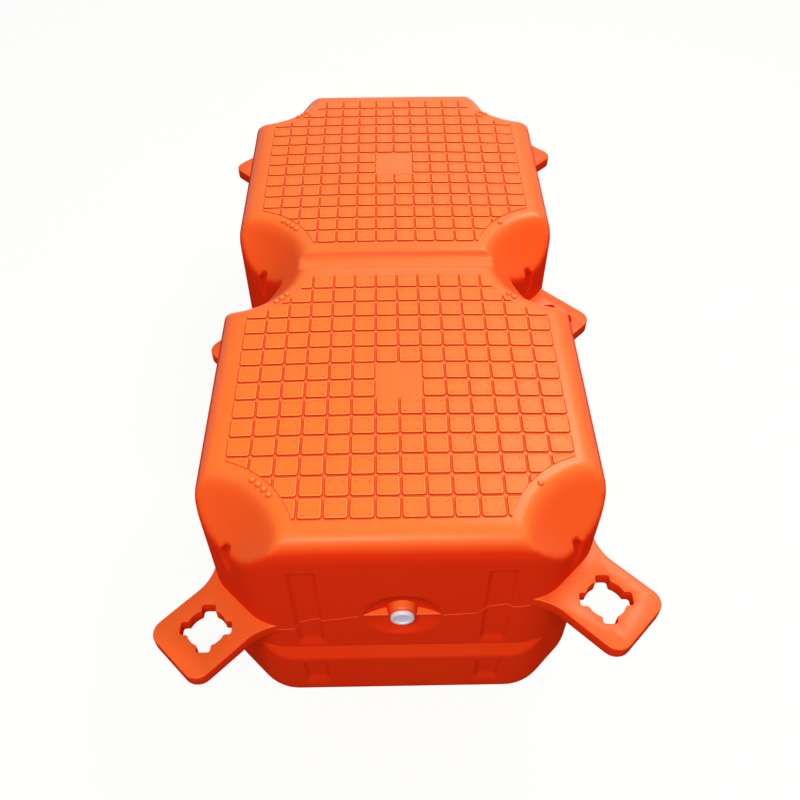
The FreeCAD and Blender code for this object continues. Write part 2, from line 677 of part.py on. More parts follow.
def float_body(doc, sheet):
    """The moulding: outer form, lugs and vent boss, less the cavity and holes, plus tread."""
    shell = hull(doc, "outer", outer_cube(doc, sheet), dish_tool(doc), "0")
    lugs = [middle_lug(doc, name, side, level) if row == 0
            else corner_lug(doc, name, side, row, level) for name, side, row, level in LUGS]
    dots = level_dots(doc, -1) + level_dots(doc, 1)
    solid = combine(doc, "Part::MultiFuse", "solid_float", shell, lugs + vent_boss(doc) + dots)
    behind_dish = backing(doc, "dish_backing", ("0", "-Sizes.cube_width"), 0, "Sizes.dish_width",
                          "Sizes.dish_depth", "Sizes.vent_height - Sizes.dish_width / 2",
                          "Sizes.vent_height + Sizes.dish_width / 2")
    cavity = hull(doc, "inner", inner_cube(doc), behind_dish, "Sizes.wall")
    eyes = [eye_tool(doc, name, side, row, level) for name, side, row, level in LUGS]
    hollow = combine(doc, "Part::Cut", "hollow_float", solid, [cavity])
    open_float = combine(doc, "Part::Cut", "open_float", hollow, vent_bore(doc) + eyes)
    pads = tread(doc)
    return combine(doc, "Part::MultiFuse", "float_body", open_float,
                   [pads, mirrored(doc, "rear_pads", pads)])


def vent_plug(doc):
    """The screw plug in the vent: a round head with a shallow dish and a plain shank."""
    body = new_body(doc, "vent_plug")
    dish, edge = "Sizes.plug_dish_width / 2", "Sizes.plug_width / 2"
    shank = "Sizes.bore_width / 2 - Sizes.plug_clearance"
    low = "Sizes.plug_head - Sizes.plug_dish_depth"
    profile = outline(body, "plug_profile", "XZ_Plane", [
        ("0", low), (f"{dish} - Sizes.plug_rim", low), (dish, "Sizes.plug_head"),
        (f"{edge} - Sizes.plug_rim", "Sizes.plug_head"),
        (edge, "Sizes.plug_head - Sizes.plug_rim"), (edge, "0"),
        (shank, "0"), (shank, "-Sizes.plug_shank"), ("0", "-Sizes.plug_shank"),
    ])
    spun(body, "plug_spun", profile)
    place(body, "0", "-(Sizes.cube_width + Sizes.collar_proud)", "Sizes.vent_height", 90, ACROSS)
    return body


def plug_seal(doc):
    """The flat ring squeezed between the plug's head and its seat in the collar."""
    body = new_body(doc, "plug_seal")
    inside = "Sizes.bore_width / 2"
    outside = "Sizes.seal_seat_width / 2 - Sizes.plug_clearance"
    profile = outline(body, "seal_profile", "XZ_Plane", [
        (inside, "0"), (outside, "0"), (outside, "-Sizes.seal_thick"),
        (inside, "-Sizes.seal_thick"),
    ])
    spun(body, "seal_spun", profile)
    place(body, "0", "-(Sizes.cube_width + Sizes.collar_proud)", "Sizes.vent_height", 90, ACROSS)
    return body


def check(doc, pieces):
    """Stops the build where a feature failed or a piece is not one sound solid."""
    for thing in doc.Objects:
        if "Invalid" in thing.State or "Error" in thing.State:
            raise RuntimeError(f"{thing.Name} failed: {thing.State}")
    for piece in pieces:
        if piece.Shape.isNull() or not piece.Shape.isValid() or len(piece.Shape.Solids) != 1:
            raise RuntimeError(f"{piece.Label} is not one valid solid")


def build():
    """Models the float, its plug and the seal, checks them and writes a STEP file of each."""
    doc = FreeCAD.newDocument("dock_cube")
    sheet = make_sheet(doc)
    pieces = [float_body(doc, sheet), vent_plug(doc), plug_seal(doc)]
    doc.recompute()
    check(doc, pieces)
    os.makedirs("parts", exist_ok=True)
    for piece in pieces:
        piece.Shape.exportStep(f"parts/{piece.Label}.step")
        print(piece.Label, round(piece.Shape.Volume / 1e6, 4), "litres of solid")


build()
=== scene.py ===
from math import atan2, cos, pi, radians, sin, sqrt, tan

import bpy
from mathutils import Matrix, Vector


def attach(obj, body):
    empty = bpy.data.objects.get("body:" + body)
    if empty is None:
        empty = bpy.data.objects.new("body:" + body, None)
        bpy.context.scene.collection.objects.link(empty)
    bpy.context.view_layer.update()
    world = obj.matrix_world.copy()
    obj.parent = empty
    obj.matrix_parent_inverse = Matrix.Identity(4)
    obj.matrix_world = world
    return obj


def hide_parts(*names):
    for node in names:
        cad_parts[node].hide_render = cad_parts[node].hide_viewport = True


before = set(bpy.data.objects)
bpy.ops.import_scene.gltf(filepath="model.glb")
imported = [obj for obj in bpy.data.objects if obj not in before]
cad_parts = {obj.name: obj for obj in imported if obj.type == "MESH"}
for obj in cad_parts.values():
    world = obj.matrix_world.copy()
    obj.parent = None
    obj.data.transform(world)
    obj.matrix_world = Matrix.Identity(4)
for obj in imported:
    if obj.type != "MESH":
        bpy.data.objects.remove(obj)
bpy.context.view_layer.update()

# The moulding
# The float is one hollow blow moulding of orange polyethylene: two cubes joined at the
# waist, with every edge drawn out soft by the mould. Here it is cut from a block as the
# mould's maker would cut it, large forms first, then the recesses of the side faces.
cube_width = 0.5
half = cube_width / 2
deck_height = 0.4
pin_flat = 0.052
corner_round = 0.060
deck_round = 0.030
foot_round = 0.025
round_steps = 5
# A point this close to a face lies on it.
hair = 1e-5


def settle():
    """Back to object mode, with nothing selected."""
    if bpy.context.object and bpy.context.object.mode != "OBJECT":
        bpy.ops.object.mode_set(mode="OBJECT")
    bpy.ops.object.select_all(action="DESELECT")


def alone(piece):
    """Leaves the piece active, and the only one selected."""
    settle()
    piece.select_set(True)
    bpy.context.view_layer.objects.active = piece


def pick(piece, kind, wanted):
    """Edit mode on the piece, with the edges or faces selected whose points all pass."""
    alone(piece)
    bpy.ops.object.mode_set(mode="EDIT")
    bpy.ops.mesh.select_mode(type=kind)
    bpy.ops.mesh.select_all(action="DESELECT")
    bpy.ops.object.mode_set(mode="OBJECT")
    points = piece.data.vertices
    for part in piece.data.edges if kind == "EDGE" else piece.data.polygons:
        part.select = wanted([points[i].co for i in part.vertices])
    bpy.ops.object.mode_set(mode="EDIT")


def extrude(x, y, z):
    """Draws out what is selected in edit mode by this step."""
    bpy.ops.mesh.extrude_region_move(TRANSFORM_OT_translate={"value": (x, y, z)})


def block(name, low, high):
    """A cube primitive that fills the box between two corners, its place in its mesh."""
    settle()
    middle = [(a + b) / 2 for a, b in zip(low, high)]
    bpy.ops.mesh.primitive_cube_add(size=1, location=middle)
    piece = bpy.context.object
    piece.name = name
    piece.scale = [b - a for a, b in zip(low, high)]
    bpy.ops.object.transform_apply(location=True, rotation=True, scale=True)
    return piece


def finish_with(piece, kind, **settings):
    """Adds a modifier with these settings and applies it."""
    alone(piece)
    modifier = piece.modifiers.new(kind.lower(), kind)
    for name, value in settings.items():
        setattr(modifier, name, value)
    bpy.ops.object.modifier_apply(modifier=modifier.name)


def joined(name, pieces):
    """Joins all the pieces into the first one and names it."""
    alone(pieces[0])
    for piece in pieces[1:]:
        piece.select_set(True)
    bpy.ops.object.join()
    pieces[0].name = name
    return pieces[0]


def cut(piece, tools):
    """Takes the tools' shapes out of the piece and throws the tools away."""
    tool = joined("tool", tools)
    finish_with(piece, "BOOLEAN", object=tool, operation="DIFFERENCE", solver="EXACT")
    bpy.data.objects.remove(tool)


def upright(points):
    """Whether an edge of the block runs from its foot to its deck."""
    return abs(points[0].z - points[1].z) > deck_height / 2


# The front cube is shaped with its waist at Y = 0 and then mirrored.
shell = block("float_shell", (-half, -cube_width, 0), (half, 0, deck_height))
pick(shell, "EDGE", upright)
bpy.ops.mesh.bevel(offset=pin_flat * sqrt(2), segments=1, affect="EDGES")
pick(shell, "EDGE", lambda points: upright(points) and points[0].y < -hair)
bpy.ops.mesh.bevel(offset=corner_round * tan(pi / 8), segments=round_steps, affect="EDGES")
pick(shell, "EDGE", lambda points: min(p.z for p in points) > deck_height - hair
     and min(p.y for p in points) < -hair)
bpy.ops.mesh.bevel(offset=deck_round, segments=round_steps, affect="EDGES")
pick(shell, "EDGE", lambda points: max(p.z for p in points) < hair
     and min(p.y for p in points) < -hair)
bpy.ops.mesh.bevel(offset=foot_round, segments=round_steps, affect="EDGES")
pick(shell, "FACE", lambda points: min(p.y for p in points) > -hair)
bpy.ops.mesh.delete(type="FACE")
finish_with(shell, "MIRROR", use_axis=(False, True, False), use_mirror_merge=True,
            merge_threshold=hair)

# A scoop in the deck over each pin gives room for the pin's head and its key. Its crest is
# eased in steps, each a radius and the rise up to it.
scoop_reach = 0.112
scoop_drop = 0.065
scoop_lip = 0.010
scoop_crest = ((0.110, 0.0070), (0.118, 0.0040), (0.127, 0.0018), (0.150, 0.0014))
over_deck = 0.03
pins = [(side * half, row * cube_width) for side in (-1, 1) for row in (-1, 0, 1)]
bpy.context.scene.tool_settings.transform_pivot_point = "MEDIAN_POINT"


def scoop(across, along):
    """The cone over a pin, which opens out towards the deck."""
    slope = scoop_drop / (scoop_reach - pin_flat)
    core = pin_flat / 2
    bottom = deck_height - scoop_drop - (pin_flat - core) * slope
    rim = scoop_reach - scoop_lip
    top = deck_height - scoop_lip * slope
    settle()
    bpy.ops.mesh.primitive_cone_add(vertices=96, radius1=core, radius2=rim, depth=top - bottom,
                                    location=(across, along, (bottom + top) / 2))
    tool = bpy.context.object
    bpy.ops.object.transform_apply(location=True)
    pick(tool, "FACE", lambda points: min(p.z for p in points) > top - hair)
    for wider, rise in scoop_crest:
        extrude(0, 0, rise)
        bpy.ops.transform.resize(value=(wider / rim, wider / rim, 1))
        rim = wider
    extrude(0, 0, over_deck)
    bpy.ops.object.mode_set(mode="OBJECT")
    return tool


cut(shell, [scoop(across, along) for across, along in pins])
finish_with(shell, "REMESH", mode="VOXEL", voxel_size=0.004)
finish_with(shell, "SMOOTH", factor=0.5, iterations=9)

# The channel is a shallow trough across the joint of the two decks. Its brows are eased in
# steps, each a widening and the rise up to it.
channel_length = 0.48
channel_floor = 0.024
channel_width = 0.037
channel_depth = 0.0085
channel_brow = ((1.30, 0.0010), (1.30, 0.0006))
brow_height = sum(rise for wider, rise in channel_brow)


def channel():
    """A bar that widens from the floor of the channel up to its brows."""
    shoulder = deck_height - brow_height
    tool = block("channel", (-channel_length / 2, -channel_floor / 2, deck_height - channel_depth),
                 (channel_length / 2, channel_floor / 2, shoulder))
    pick(tool, "FACE", lambda points: min(p.z for p in points) > shoulder - hair)
    bpy.ops.transform.resize(value=(1, channel_width / channel_floor, 1))
    for wider, rise in channel_brow:
        extrude(0, 0, rise)
        bpy.ops.transform.resize(value=(1, wider, 1))
    extrude(0, 0, over_deck)
    bpy.ops.object.mode_set(mode="OBJECT")
    return tool


# Each side face has a long groove round its lower body and two columns of shallow panels.
# A panel runs from its top edge down to a sill, and slopes out from there to its foot.
groove_length = 0.420
groove_depth = 0.014
groove_top = 0.157
groove_root = 0.147
groove_foot = 0.116
groove_taper = 0.1
panel_offset = 0.119
panel_width = 0.033
panel_depth = 0.0045
panels = {"high": (0.345, 0.178, 0.162), "low": (0.103, 0.058, 0.040)}
over_face = 0.02


def face_cuts():
    """The groove and the four panels of a face that looks along -Y from the origin."""
    groove = block("groove", (-groove_length / 2, -over_face, groove_foot),
                   (groove_length / 2, 0, groove_top))
    pick(groove, "FACE", lambda points: min(p.y for p in points) > -hair)
    extrude(0, groove_depth, 0)
    bpy.ops.transform.resize(value=(1, 1, groove_taper),
                             center_override=(0, groove_depth, groove_root))
    tools = [groove]
    for side in (-1, 1):
        middle = side * panel_offset
        for name, (top, sill, foot) in panels.items():
            panel = block(name, (middle - panel_width / 2, -over_face, foot),
                          (middle + panel_width / 2, 0, top))
            pick(panel, "FACE", lambda points: min(p.y for p in points) > -hair)
            extrude(0, panel_depth, 0)
            pick(panel, "EDGE", lambda points: min(p.y for p in points) > panel_depth - hair
                 and max(p.z for p in points) < foot + hair)
            bpy.ops.transform.translate(value=(0, 0, sill - foot))
            tools.append(panel)
    return joined("face_cuts", tools)


def placed(tool, across, along, turn):
    """Turns the tool about Z and moves it, with its new place in its mesh."""
    alone(tool)
    tool.rotation_euler.z = turn
    tool.location = (across, along, 0)
    bpy.ops.object.transform_apply(location=True, rotation=True)
    return tool


# Below each scoop a notch runs down the wall behind the pin. A round knob ends it at its
# top, and at its foot a sill spreads and runs out in two steps, each an inset and a drop.
notch_half = 0.0034
notch_top = 0.346
notch_foot = 0.330
notch_back = 0.020
notch_front = 0.009
knob_radius = 0.0052
knob_length = 0.03
knob_inset = 0.006
knob_height = 0.3455
sill_spread = 2.6
sill_steps = ((0.002, 0.010), (0.007, 0.030))
sill_taper = 0.6


def notch(across, along, turn):
    """A notch, made in a wall that looks along -X to a pin at the origin, then placed."""
    settle()
    bpy.ops.mesh.primitive_cylinder_add(vertices=24, radius=knob_radius, depth=knob_length,
                                        rotation=(0, pi / 2, 0),
                                        location=(pin_flat - knob_inset, 0, knob_height))
    bpy.ops.object.transform_apply(location=True, rotation=True)
    knob = bpy.context.object
    tool = block("notch", (pin_flat - notch_back, -notch_half, notch_foot),
                 (pin_flat + notch_front, notch_half, notch_top))
    pick(tool, "FACE", lambda points: max(p.z for p in points) < notch_foot + hair)
    bpy.ops.transform.resize(value=(1, sill_spread, 1), center_override=(0, 0, notch_foot))
    for inset, drop in sill_steps:
        extrude(-inset, 0, -drop)
    bpy.ops.transform.resize(value=(1, sill_taper, 1), center_override=(0, 0, notch_foot))
    bpy.ops.object.mode_set(mode="OBJECT")
    finish_with(tool, "BOOLEAN", object=knob, operation="UNION", solver="EXACT")
    bpy.data.objects.remove(knob)
    return placed(tool, across, along, turn)


# The vent stands in a round dish on the front end face.
vent_height = 0.240
dish_width = 0.100
dish_depth = 0.013


def dish():
    """A ball that dips into the end face as deep and as wide as the dish."""
    ball = (dish_width ** 2 / 4 + dish_depth ** 2) / (2 * dish_depth)
    settle()
    bpy.ops.mesh.primitive_uv_sphere_add(segments=96, ring_count=64, radius=ball,
                                         location=(0, dish_depth - cube_width - ball, vent_height))
    bpy.ops.object.transform_apply(location=True)
    return bpy.context.object


shell_faces = 95000
recesses = [placed(face_cuts(), 0, -cube_width, 0), placed(face_cuts(), 0, cube_width, pi)]
for row in (-half, half):
    recesses.append(placed(face_cuts(), half, row, pi / 2))
    recesses.append(placed(face_cuts(), -half, row, -pi / 2))
notched_ways = {-1: (1,), 0: (-1, 1), 1: (-1,)}
for side in (-1, 1):
    for row, ways in notched_ways.items():
        for way in ways:
            recesses.append(notch(side * half, row * cube_width, atan2(way, -side)))
recesses.append(dish())
recesses.append(channel())
cut(shell, recesses)
finish_with(shell, "REMESH", mode="VOXEL", voxel_size=0.0022)
finish_with(shell, "SMOOTH", factor=0.5, iterations=3)
finish_with(shell, "DECIMATE", ratio=shell_faces / len(shell.data.polygons))

# Both decks bulge a little, and less so at the joint. The same cage of control points bends
# the moulding and what stands on its deck. Its points pull the deck by less than they move.
crown_rise = 0.0085
joint_rise = 0.7
cage_pull = 1.15
cage_height = 0.06
cage_sink = 0.02
cage_columns = 5
cage_rows = 9


def crowned(piece):
    """Lifts the middle of both decks with a lattice that spans them."""
    settle()
    bpy.ops.object.add(type="LATTICE", location=(0, 0, deck_height - cage_sink))
    cage = bpy.context.object
    cage.scale = (cube_width, 2 * cube_width, cage_height)
    grid = cage.data
    grid.points_u, grid.points_v, grid.points_w = cage_columns, cage_rows, 2
    for i, point in enumerate(grid.points):
        column, row = i % cage_columns, i // cage_columns % cage_rows
        on_top = i >= cage_columns * cage_rows
        across = 1 - ((column - 2) / 2) ** 2
        along = 1 - ((row % 4 - 2) / 2) ** 2 if row % 4 else joint_rise * (row == 4)
        if on_top:
            point.co_deform.z += cage_pull * crown_rise * across * along / cage.scale.z
    bpy.context.view_layer.update()
    finish_with(piece, "LATTICE", object=cage)
    bpy.data.objects.remove(cage)


crowned(shell)
alone(shell)
bpy.ops.object.shade_smooth()


def moulded_plastic(name, lit, deep, glint, shine, roughness, painted_crease_shade=0.0):
    """Dyed polyethylene, its colour painted with light and shade. Faces that look up get the
    lit colour as painted light, upright ones the deep colour as painted shade, convex edges
    get a painted highlight, and creases can get painted shade. The mould leaves a fine
    grain. Upright faces don't mirror the ground, which would turn them pink."""
    material = bpy.data.materials.new(name)
    material.use_nodes = True
    nodes, links = material.node_tree.nodes, material.node_tree.links
    shader = nodes["Principled BSDF"]
    place = nodes.new("ShaderNodeTexCoord")
    surface = nodes.new("ShaderNodeNewGeometry")
    split = nodes.new("ShaderNodeSeparateXYZ")
    links.new(surface.outputs["Normal"], split.inputs["Vector"])

    def ranged(source, low=0.0, high=1.0, bottom=0.0, top=1.0):
        """Carries the source's span from low to high over to bottom to top."""
        span = nodes.new("ShaderNodeMapRange")
        span.inputs["From Min"].default_value = low
        span.inputs["From Max"].default_value = high
        span.inputs["To Min"].default_value = bottom
        span.inputs["To Max"].default_value = top
        links.new(source, span.inputs["Value"])
        return span.outputs["Result"]

    def noise(scale, detail):
        """A noise that sits still in the piece."""
        pattern = nodes.new("ShaderNodeTexNoise")
        pattern.inputs["Scale"].default_value = scale
        pattern.inputs["Detail"].default_value = detail
        links.new(place.outputs["Object"], pattern.inputs["Vector"])
        return pattern.outputs["Fac"]

    def tinged(under, tinge, amount):
        """The colour under, with this much of the tinge over it."""
        mix = nodes.new("ShaderNodeMix")
        mix.data_type = "RGBA"
        mix.inputs["B"].default_value = tinge
        links.new(amount, mix.inputs["Factor"])
        links.new(under, mix.inputs["A"])
        return mix.outputs["Result"]

    cloud = noise(scale=7.0, detail=5.0)
    uneven = nodes.new("ShaderNodeMath")
    uneven.operation = "MULTIPLY_ADD"
    uneven.inputs[1].default_value = 0.25
    links.new(cloud, uneven.inputs[0])
    links.new(ranged(split.outputs["Z"], low=0.38, high=1.02), uneven.inputs[2])
    # Upward faces take the lit colour and upright faces the deep colour, with a random mottle:
    # painted light and painted shade.
    painted_light_ramp = nodes.new("ShaderNodeValToRGB")
    painted_light_ramp.color_ramp.elements[0].position = 0.14
    painted_light_ramp.color_ramp.elements[0].color = deep
    painted_light_ramp.color_ramp.elements[1].position = 1.0
    painted_light_ramp.color_ramp.elements[1].color = lit
    links.new(uneven.outputs["Value"], painted_light_ramp.inputs["Fac"])
    # Convex edges are tinted lighter as a painted highlight, and concave creases darker as painted
    # shade.
    painted_edge_highlight = [0.85 * c + 0.08 for c in lit[:3]] + [1]
    edge = ranged(surface.outputs["Pointiness"], low=0.53, high=0.62, top=0.15)
    shaded = [0.6 * c for c in deep[:3]] + [1]
    crease = ranged(surface.outputs["Pointiness"], low=0.493, high=0.455, top=painted_crease_shade)
    colour = tinged(tinged(painted_light_ramp.outputs["Color"], painted_edge_highlight, edge), shaded, crease)
    links.new(colour, shader.inputs["Base Color"])
    bump = nodes.new("ShaderNodeBump")
    bump.inputs["Strength"].default_value = 0.2
    bump.inputs["Distance"].default_value = 0.0006
    links.new(noise(scale=400.0, detail=3.0), bump.inputs["Height"])
    links.new(bump.outputs["Normal"], shader.inputs["Normal"])
    sheen = ranged(cloud, bottom=roughness - 0.05, top=roughness + 0.07)
    links.new(sheen, shader.inputs["Roughness"])
    polish = ranged(split.outputs["Z"], low=0.60, high=0.88, top=shine)
    links.new(polish, shader.inputs["Specular IOR Level"])
    shader.inputs["IOR"].default_value = 1.5
    shader.inputs["Specular Tint"].default_value = glint
    return material


warm_glint = (1.0, 0.72, 0.52, 1)
orange = moulded_plastic("orange_polyethylene", lit=(0.84, 0.138, 0.018, 1),
                         deep=(0.78, 0.030, 0.005, 1), glint=warm_glint, shine=0.44,
                         roughness=0.38, painted_crease_shade=0.75)


def dressed(piece, material):
    """Gives the piece its material, and carries it with the float."""
    piece.data.materials.clear()
    piece.data.materials.append(material)
    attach(piece, "root")


dressed(shell, orange)
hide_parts("float_body")

# The tread
# Each deck has a square field of raised pads against slipping, moulded with the float.
# A pad has a narrow rim round a sunk middle, with four small studs in its corners. The
# field stops short of the hollows over the pins and leaves a bare square in its middle.
tread_count = 14
tread_pitch = 0.0303
tread_gap = 0.0034
tread_height = 0.0018
tread_clear = 0.130
tread_blank = 2
tread_root = 0.0025
least_pad = 0.003
pad_slack = 0.0001
pad_corner = 0.0040
skirt_rise = 0.0002
wall_lean = 0.0003
shoulder_run = 0.0007
shoulder_rise = 0.0004
rim_width = 0.0010
well_run = 0.0006
well_depth = 0.0005
gap_below = 0.0003
rim_above = 0.0016
stud_offset = 0.0078
stud_foot = 0.0017
stud_top = 0.0008
stud_height = 0.0012
pad_orange = moulded_plastic("pad_orange", lit=(0.84, 0.148, 0.019, 1),
                             deep=(0.78, 0.050, 0.006, 1), glint=warm_glint, shine=0.30,
                             roughness=0.42)
# Pad walls and the beds of the gaps between pads are painted darker: painted shade.
gap_orange = moulded_plastic("shaded_gap_orange", lit=(0.70, 0.062, 0.007, 1),
                             deep=(0.42, 0.015, 0.002, 1), glint=warm_glint, shine=0.05,
                             roughness=0.5, painted_crease_shade=0.5)
# The rims and studs of the pads, and the level dots, are painted lighter: a painted highlight on
# their edges.
highlight_orange = moulded_plastic("painted_highlight_rim", lit=(0.88, 0.225, 0.060, 1),
                             deep=(0.80, 0.100, 0.015, 1), glint=warm_glint, shine=0.30,
                             roughness=0.38)


def tread_pad():
    """One pad: a skirt out to the middle of the gap, a wall, a rim and a sunk middle."""
    side = tread_pitch / 2 - pad_slack
    pad = block("pad", (-side, -side, deck_height - tread_root),
                (side, side, deck_height + skirt_rise))
    pick(pad, "EDGE", lambda points: abs(points[0].z - points[1].z) > tread_root / 2)
    bpy.ops.mesh.bevel(offset=pad_corner, segments=2, affect="EDGES")
    pick(pad, "FACE", lambda points: min(p.z for p in points) > deck_height)
    bpy.ops.mesh.inset(thickness=tread_gap / 2 - wall_lean, depth=0.0)
    bpy.ops.mesh.inset(thickness=wall_lean, depth=tread_height - skirt_rise - shoulder_rise)
    bpy.ops.mesh.inset(thickness=shoulder_run, depth=shoulder_rise)
    bpy.ops.mesh.inset(thickness=rim_width, depth=0.0)
    bpy.ops.mesh.inset(thickness=well_run, depth=-well_depth)
    bpy.ops.object.mode_set(mode="OBJECT")
    for material in (pad_orange, gap_orange, highlight_orange):
        pad.data.materials.append(material)
    # The skirt and lower wall get the darker gap colour, painted shade; the top of the rim gets
    # the lighter rim colour, a painted highlight.
    for facet in pad.data.polygons:
        foot = min(pad.data.vertices[i].co.z for i in facet.vertices) - deck_height
        if foot < gap_below:
            facet.material_index = 1
        elif foot > rim_above:
            facet.material_index = 2
    return pad


def studded(pad):
    """The pad with a small stud in each corner of its sunk middle."""
    studs = []
    for across in (-1, 1):
        for along in (-1, 1):
            settle()
            bpy.ops.mesh.primitive_cone_add(
                vertices=6, radius1=stud_foot, radius2=stud_top, depth=stud_height,
                end_fill_type="NGON",
                location=(across * stud_offset, along * stud_offset, deck_height + tread_height))
            bpy.ops.object.transform_apply(location=True)
            studs.append(bpy.context.object)
            studs[-1].data.materials.append(highlight_orange)
    return joined("pad", [pad] + studs)


def pad_places():
    """The middle of each pad of one deck, and whether the rim of a hollow cuts the pad.
    A pad of which the rim would leave only a sliver is left out."""
    side = tread_pitch / 2
    blank = tread_blank * tread_pitch / 2
    for i in range(tread_count):
        for j in range(tread_count):
            across = (i - (tread_count - 1) / 2) * tread_pitch
            along = (j - (tread_count - 1) / 2) * tread_pitch
            if abs(across) < blank and abs(along) < blank:
                continue
            to_pin = half - abs(across), half - abs(along)
            nearest = sqrt((to_pin[0] - side) ** 2 + (to_pin[1] - side) ** 2)
            farthest = sqrt((to_pin[0] + side) ** 2 + (to_pin[1] + side) ** 2)
            if farthest >= tread_clear + least_pad:
                yield across, along, nearest < tread_clear


def hollow_bounds(centre):
    """The four cylinders over the pins that bound the tread of one deck."""
    bounds = []
    for side in (-1, 1):
        for end in (-1, 1):
            settle()
            bpy.ops.mesh.primitive_cylinder_add(
                vertices=192, radius=tread_clear, depth=over_deck,
                location=(side * half, centre + end * half, deck_height))
            bpy.ops.object.transform_apply(location=True)
            bounds.append(bpy.context.object)
            bounds[-1].data.materials.append(pad_orange)
    return bounds


def tread_field(name, centre):
    """Copies of the pad over one deck; those that meet a hollow's rim are cut off by it."""
    plain, full = tread_pad(), studded(tread_pad())
    whole_pads, cut_pads = [], []
    for across, along, is_cut in pad_places():
        pattern = plain if is_cut else full
        pad = bpy.data.objects.new("pad", pattern.data.copy())
        pad.location = (across, centre + along, 0)
        bpy.context.collection.objects.link(pad)
        (cut_pads if is_cut else whole_pads).append(pad)
    bounds = hollow_bounds(centre)
    rim = joined("rim", cut_pads)
    alone(rim)
    bpy.ops.object.transform_apply(location=True)
    cut(rim, bounds)
    field = joined(name, whole_pads + [rim])
    bpy.ops.object.transform_apply(location=True)
    bpy.data.objects.remove(plain)
    bpy.data.objects.remove(full)
    return field


for name, centre in (("front_tread", -half), ("rear_tread", half)):
    field = tread_field(name, centre)
    crowned(field)
    alone(field)
    bpy.ops.object.shade_smooth_by_angle(angle=radians(40))
    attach(field, "root")

# The level dots
# One to four small round studs, moulded with the deck beside each hollow, tell which level
# the lug below it has, so that floats are joined the right way round.
dot_circle = 0.121
dot_pitch = 0.010
dot_width = 0.0085
dot_sink = 0.0006
dots_beside = {(-1, -1): 4, (1, -1): 1, (-1, 1): 3, (1, 1): 2}


def level_dots():
    """The dots of both decks, in an arc round each pin."""
    dots = []
    for centre in (-half, half):
        for (side, end), count in dots_beside.items():
            facing = atan2(-end, -side)
            for i in range(count):
                turn = facing + (i - (count - 1) / 2) * dot_pitch / dot_circle
                settle()
                bpy.ops.mesh.primitive_uv_sphere_add(
                    segments=16, ring_count=10, radius=dot_width / 2,
                    location=(side * half + dot_circle * cos(turn),
                              centre + end * half + dot_circle * sin(turn),
                              deck_height - dot_sink))
                bpy.ops.object.transform_apply(location=True)
                dots.append(bpy.context.object)
    return joined("level_dots", dots)


dots = level_dots()
crowned(dots)
alone(dots)
bpy.ops.object.shade_smooth()
# The dots take the lighter rim colour, a painted highlight.
dressed(dots, highlight_orange)

# The lugs
# Six flat lugs, moulded solid with the float, stand at stepped levels so that those of
# four floats stack on one pin. Each has a round eye with four lobes for the pin's keys.
lug_low = 0.196
lug_step = 0.020
lug_thick = 0.020
lug_half = 0.050
lug_end = 0.056
lug_corner = 0.020
lug_flare = 0.060
lug_root = 0.021
lug_rim = 0.0022
lug_sink = 0.0012
middle_lug_half = 0.048
middle_lug_corner = 0.022
middle_lug_root = 0.020
eye_radius = 0.025
eye_reach = 0.0325
eye_rim = 0.0012
lobe_half = 0.0175 / 2
lobe_ease = 0.0035
waist_ease = 0.003
eye_chords = 4
ease_steps = 3
over_lug = 0.01
levels = {(-1, -1): 0, (1, -1): 3, (-1, 0): 0, (1, 0): 3, (-1, 1): 1, (1, 1): 2}
row_names = {-1: "front", 0: "middle", 1: "rear"}
side_names = {-1: "left", 1: "right"}
lug_orange = moulded_plastic("lug_orange", lit=(0.82, 0.105, 0.014, 1),
                             deep=(0.76, 0.030, 0.004, 1), glint=warm_glint, shine=0.35,
                             roughness=0.36, painted_crease_shade=0.4)


def rounded_path(corners):
    """The points of a closed outline; each corner is (x, y, radius) and becomes an arc."""
    spots = []
    for i, (x, y, radius) in enumerate(corners):
        here = Vector((x, y))
        before = (Vector(corners[i - 1][:2]) - here).normalized()
        after = (Vector(corners[(i + 1) % len(corners)][:2]) - here).normalized()
        if not radius:
            spots.append(here)
            continue
        spread = before.angle(after)
        centre = here + (before + after).normalized() * radius / sin(spread / 2)
        first = here + before * radius / tan(spread / 2) - centre
        last = here + after * radius / tan(spread / 2) - centre
        for step in range(ease_steps + 1):
            spots.append(centre + radius * first.slerp(last, step / ease_steps).normalized())
    return spots


def drawn(name, route):
    """A line of edges drawn from a single vertex, left in edit mode with all selected."""
    settle()
    bpy.ops.mesh.primitive_plane_add(size=0.001)
    line = bpy.context.object
    line.name = name
    bpy.ops.object.mode_set(mode="EDIT")
    bpy.ops.mesh.select_mode(type="VERT")
    bpy.ops.mesh.select_all(action="SELECT")
    bpy.ops.mesh.merge(type="CENTER")
    bpy.ops.transform.translate(value=route[0])
    for here, there in zip(route, route[1:]):
        extrude(*(b - a for a, b in zip(here, there)))
    bpy.ops.mesh.select_all(action="SELECT")
    return line


